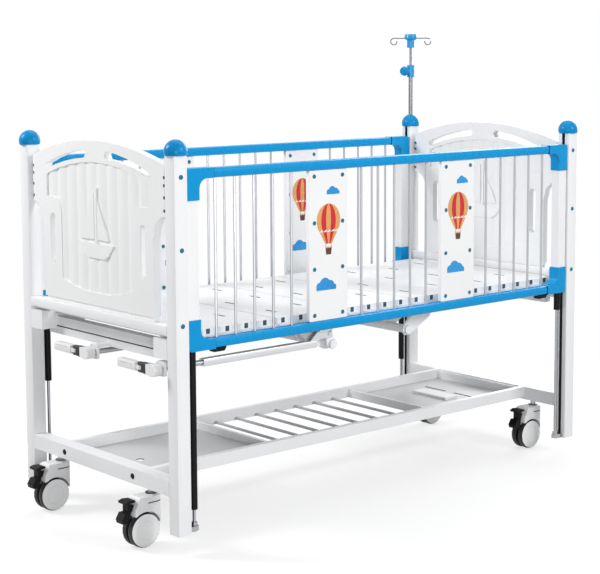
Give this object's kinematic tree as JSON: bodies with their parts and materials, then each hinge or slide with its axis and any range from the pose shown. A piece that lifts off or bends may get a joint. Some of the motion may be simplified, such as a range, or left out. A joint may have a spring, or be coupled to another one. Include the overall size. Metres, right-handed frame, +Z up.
{
  "type": "pediatric hospital cot",
  "caption": "Child's hospital cot on casters with drop-side rails, fluted end panels, a hand-cranked sectioned deck, an under-shelf and an infusion pole.",
  "frame": {"origin": "on the floor under the middle of the bounding box", "axes": "+X from the foot end with the cranks to the head end with the pole, -Y to the patient's left side, +Z up"},
  "size_m": [1.8018, 0.8314, 1.44],
  "materials": {
    "white_enamel": "smooth white powder coat",
    "blue_enamel": "glossy bright blue coat",
    "blue_plastic": "glossy bright blue moulding",
    "white_plastic": "satin white moulding",
    "cream_plastic": "satin cream moulding",
    "black_plastic": "satin black moulding",
    "tyre": "smooth dark tread on a pale hub",
    "chrome": "bright plated steel",
    "zinc": "dull zinc plate"
  },
  "bodies": {
    "frame": {"post_foot_left": "white_enamel", "post_cap_foot_left": "blue_plastic", "guide_rod_foot_left": "chrome", "sleeve_foot_left": "black_plastic", "post_foot_right": "white_enamel", "post_cap_foot_right": "blue_plastic", "guide_rod_foot_right": "chrome", "sleeve_foot_right": "black_plastic", "post_head_left": "white_enamel", "post_cap_head_left": "blue_plastic", "guide_rod_head_left": "chrome", "sleeve_head_left": "black_plastic", "post_head_right": "white_enamel", "post_cap_head_right": "blue_plastic", "guide_rod_head_right": "chrome", "sleeve_head_right": "black_plastic", "end_panel_foot": "white_plastic", "end_panel_head": "white_plastic", "lower_crossbar_foot": "white_enamel", "lower_crossbar_head": "white_enamel", "under_shelf": "white_enamel", "mattress_frame": "white_enamel", "seat_section": "white_enamel", "pole_lower_tube": "chrome"},
    "rail_left": {"rail_top_bar_left": "blue_enamel", "rail_bottom_bar_left": "blue_enamel", "rail_ladder_left": "chrome", "rail_panel_foot_left": "white_plastic", "rail_panel_head_left": "white_plastic"},
    "rail_right": {"rail_top_bar_right": "blue_enamel", "rail_bottom_bar_right": "blue_enamel", "rail_ladder_right": "chrome", "rail_panel_foot_right": "white_plastic", "rail_panel_head_right": "white_plastic"},
    "back": {"back_section": "white_enamel"},
    "thigh": {"thigh_section": "white_enamel"},
    "calf": {"calf_section": "white_enamel"},
    "tube_thigh": {"cross_tube_thigh": "white_enamel"},
    "tube_back": {"cross_tube_back": "white_enamel"},
    "bar_thigh": {"draw_bar_thigh": "zinc"},
    "bar_back": {"draw_bar_back": "zinc"},
    "crank_thigh": {"crank_shaft_thigh": "white_enamel"},
    "crank_back": {"crank_shaft_back": "white_enamel"},
    "grip_thigh": {"crank_grip_thigh": "cream_plastic"},
    "grip_back": {"crank_grip_back": "cream_plastic"},
    "caster_foot_left": {"caster_hood_foot_left": "white_plastic"},
    "wheel_foot_left": {"caster_wheel_foot_left": "tyre"},
    "pedal_foot_left": {"brake_pedal_foot_left": "black_plastic"},
    "caster_foot_right": {"caster_hood_foot_right": "white_plastic"},
    "wheel_foot_right": {"caster_wheel_foot_right": "tyre"},
    "pedal_foot_right": {"brake_pedal_foot_right": "black_plastic"},
    "caster_head_left": {"caster_hood_head_left": "white_plastic"},
    "wheel_head_left": {"caster_wheel_head_left": "tyre"},
    "pedal_head_left": {"brake_pedal_head_left": "black_plastic"},
    "caster_head_right": {"caster_hood_head_right": "white_plastic"},
    "wheel_head_right": {"caster_wheel_head_right": "tyre"},
    "pedal_head_right": {"brake_pedal_head_right": "black_plastic"},
    "pole_upper": {"pole_upper_rod": "chrome"},
    "pole_knob": {"pole_clamp_knob": "blue_plastic"}
  },
  "joints": [
    {"name": "rail_left_drop", "type": "slide", "parent": "frame", "child": "rail_left", "axis": [0, 0, -1], "range_m": [0, 0.42]},
    {"name": "rail_right_drop", "type": "slide", "parent": "frame", "child": "rail_right", "axis": [0, 0, -1], "range_m": [0, 0.42]},
    {"name": "back_lift", "type": "hinge", "parent": "frame", "child": "back", "pos_m": [0.14129, -0.00815, 0.608], "axis": [0, -1, 0], "range_deg": [0, 70]},
    {"name": "thigh_lift", "type": "hinge", "parent": "frame", "child": "thigh", "pos_m": [-0.12971, -0.00815, 0.608], "axis": [0, 1, 0], "range_deg": [0, 35]},
    {"name": "calf_fold", "type": "hinge", "parent": "thigh", "child": "calf", "pos_m": [-0.40371, -0.00815, 0.592], "axis": [0, 1, 0], "range_deg": [-61.8, 0]},
    {"name": "tube_thigh_turn", "type": "hinge", "parent": "frame", "child": "tube_thigh", "pos_m": [-0.18471, -0.00815, 0.505], "axis": [0, 1, 0], "range_deg": [0, 44.2]},
    {"name": "tube_back_turn", "type": "hinge", "parent": "frame", "child": "tube_back", "pos_m": [0.15529, -0.00815, 0.505], "axis": [0, -1, 0], "range_deg": [0, 53.7]},
    {"name": "bar_thigh_slide", "type": "slide", "parent": "frame", "child": "bar_thigh", "axis": [1, 0, 0], "range_m": [0, 0.0286]},
    {"name": "bar_back_slide", "type": "slide", "parent": "frame", "child": "bar_back", "axis": [-1, 0, 0], "range_m": [0, 0.0344]},
    {"name": "crank_thigh_turn", "type": "hinge", "parent": "frame", "child": "crank_thigh", "pos_m": [-0.82921, -0.32615, 0.514], "axis": [1, 0, 0], "range_deg": [0, 1442]},
    {"name": "crank_back_turn", "type": "hinge", "parent": "frame", "child": "crank_back", "pos_m": [-0.82921, 0.00385, 0.514], "axis": [1, 0, 0], "range_deg": [0, 1802]},
    {"name": "grip_thigh_fold", "type": "hinge", "parent": "crank_thigh", "child": "grip_thigh", "pos_m": [-0.82921, -0.26415, 0.514], "axis": [0, 0, 1], "range_deg": [0, 90]},
    {"name": "grip_back_fold", "type": "hinge", "parent": "crank_back", "child": "grip_back", "pos_m": [-0.82921, 0.06585, 0.514], "axis": [0, 0, 1], "range_deg": [0, 90]},
    {"name": "caster_foot_left_swivel", "type": "hinge", "parent": "frame", "child": "caster_foot_left", "pos_m": [-0.79071, -0.24365, 0.146], "axis": [0, 0, 1], "continuous": true},
    {"name": "wheel_foot_left_spin", "type": "hinge", "parent": "caster_foot_left", "child": "wheel_foot_left", "pos_m": [-0.82671, -0.24365, 0.05], "axis": [0, 1, 0], "continuous": true},
    {"name": "pedal_foot_left_press", "type": "hinge", "parent": "caster_foot_left", "child": "pedal_foot_left", "pos_m": [-0.85389, -0.24365, 0.116], "axis": [0, -1, 0], "range_deg": [0, 10]},
    {"name": "caster_foot_right_swivel", "type": "hinge", "parent": "frame", "child": "caster_foot_right", "pos_m": [-0.79071, 0.22735, 0.146], "axis": [0, 0, 1], "continuous": true},
    {"name": "wheel_foot_right_spin", "type": "hinge", "parent": "caster_foot_right", "child": "wheel_foot_right", "pos_m": [-0.82671, 0.22735, 0.05], "axis": [0, 1, 0], "continuous": true},
    {"name": "pedal_foot_right_press", "type": "hinge", "parent": "caster_foot_right", "child": "pedal_foot_right", "pos_m": [-0.85389, 0.22735, 0.116], "axis": [0, -1, 0], "range_deg": [0, 10]},
    {"name": "caster_head_left_swivel", "type": "hinge", "parent": "frame", "child": "caster_head_left", "pos_m": [0.84129, -0.24365, 0.146], "axis": [0, 0, 1], "continuous": true},
    {"name": "wheel_head_left_spin", "type": "hinge", "parent": "caster_head_left", "child": "wheel_head_left", "pos_m": [0.80529, -0.24365, 0.05], "axis": [0, 1, 0], "continuous": true},
    {"name": "pedal_head_left_press", "type": "hinge", "parent": "caster_head_left", "child": "pedal_head_left", "pos_m": [0.77811, -0.24365, 0.116], "axis": [0, -1, 0], "range_deg": [0, 10]},
    {"name": "caster_head_right_swivel", "type": "hinge", "parent": "frame", "child": "caster_head_right", "pos_m": [0.84129, 0.22735, 0.146], "axis": [0, 0, 1], "continuous": true},
    {"name": "wheel_head_right_spin", "type": "hinge", "parent": "caster_head_right", "child": "wheel_head_right", "pos_m": [0.80529, 0.22735, 0.05], "axis": [0, 1, 0], "continuous": true},
    {"name": "pedal_head_right_press", "type": "hinge", "parent": "caster_head_right", "child": "pedal_head_right", "pos_m": [0.77811, 0.22735, 0.116], "axis": [0, -1, 0], "range_deg": [0, 10]},
    {"name": "pole_raise", "type": "slide", "parent": "frame", "child": "pole_upper", "axis": [0, 0, 1], "range_m": [-0.05, 0.25]},
    {"name": "pole_knob_turn", "type": "hinge", "parent": "frame", "child": "pole_knob", "pos_m": [0.81129, 0.36535, 1.304], "axis": [-1, 0, 0], "range_deg": [0, 360]}
  ],
  "couplings": [
    {"joint": "calf_fold", "follows": "thigh_lift", "ratio": -1.76},
    {"joint": "tube_thigh_turn", "follows": "thigh_lift", "ratio": 1.2571},
    {"joint": "tube_back_turn", "follows": "back_lift", "ratio": 0.76429},
    {"joint": "bar_thigh_slide", "follows": "thigh_lift", "m_per_rad": 0.04659},
    {"joint": "bar_back_slide", "follows": "back_lift", "m_per_rad": 0.02799},
    {"joint": "crank_thigh_turn", "follows": "thigh_lift", "ratio": 41.143},
    {"joint": "crank_back_turn", "follows": "back_lift", "ratio": 25.714}
  ]
}
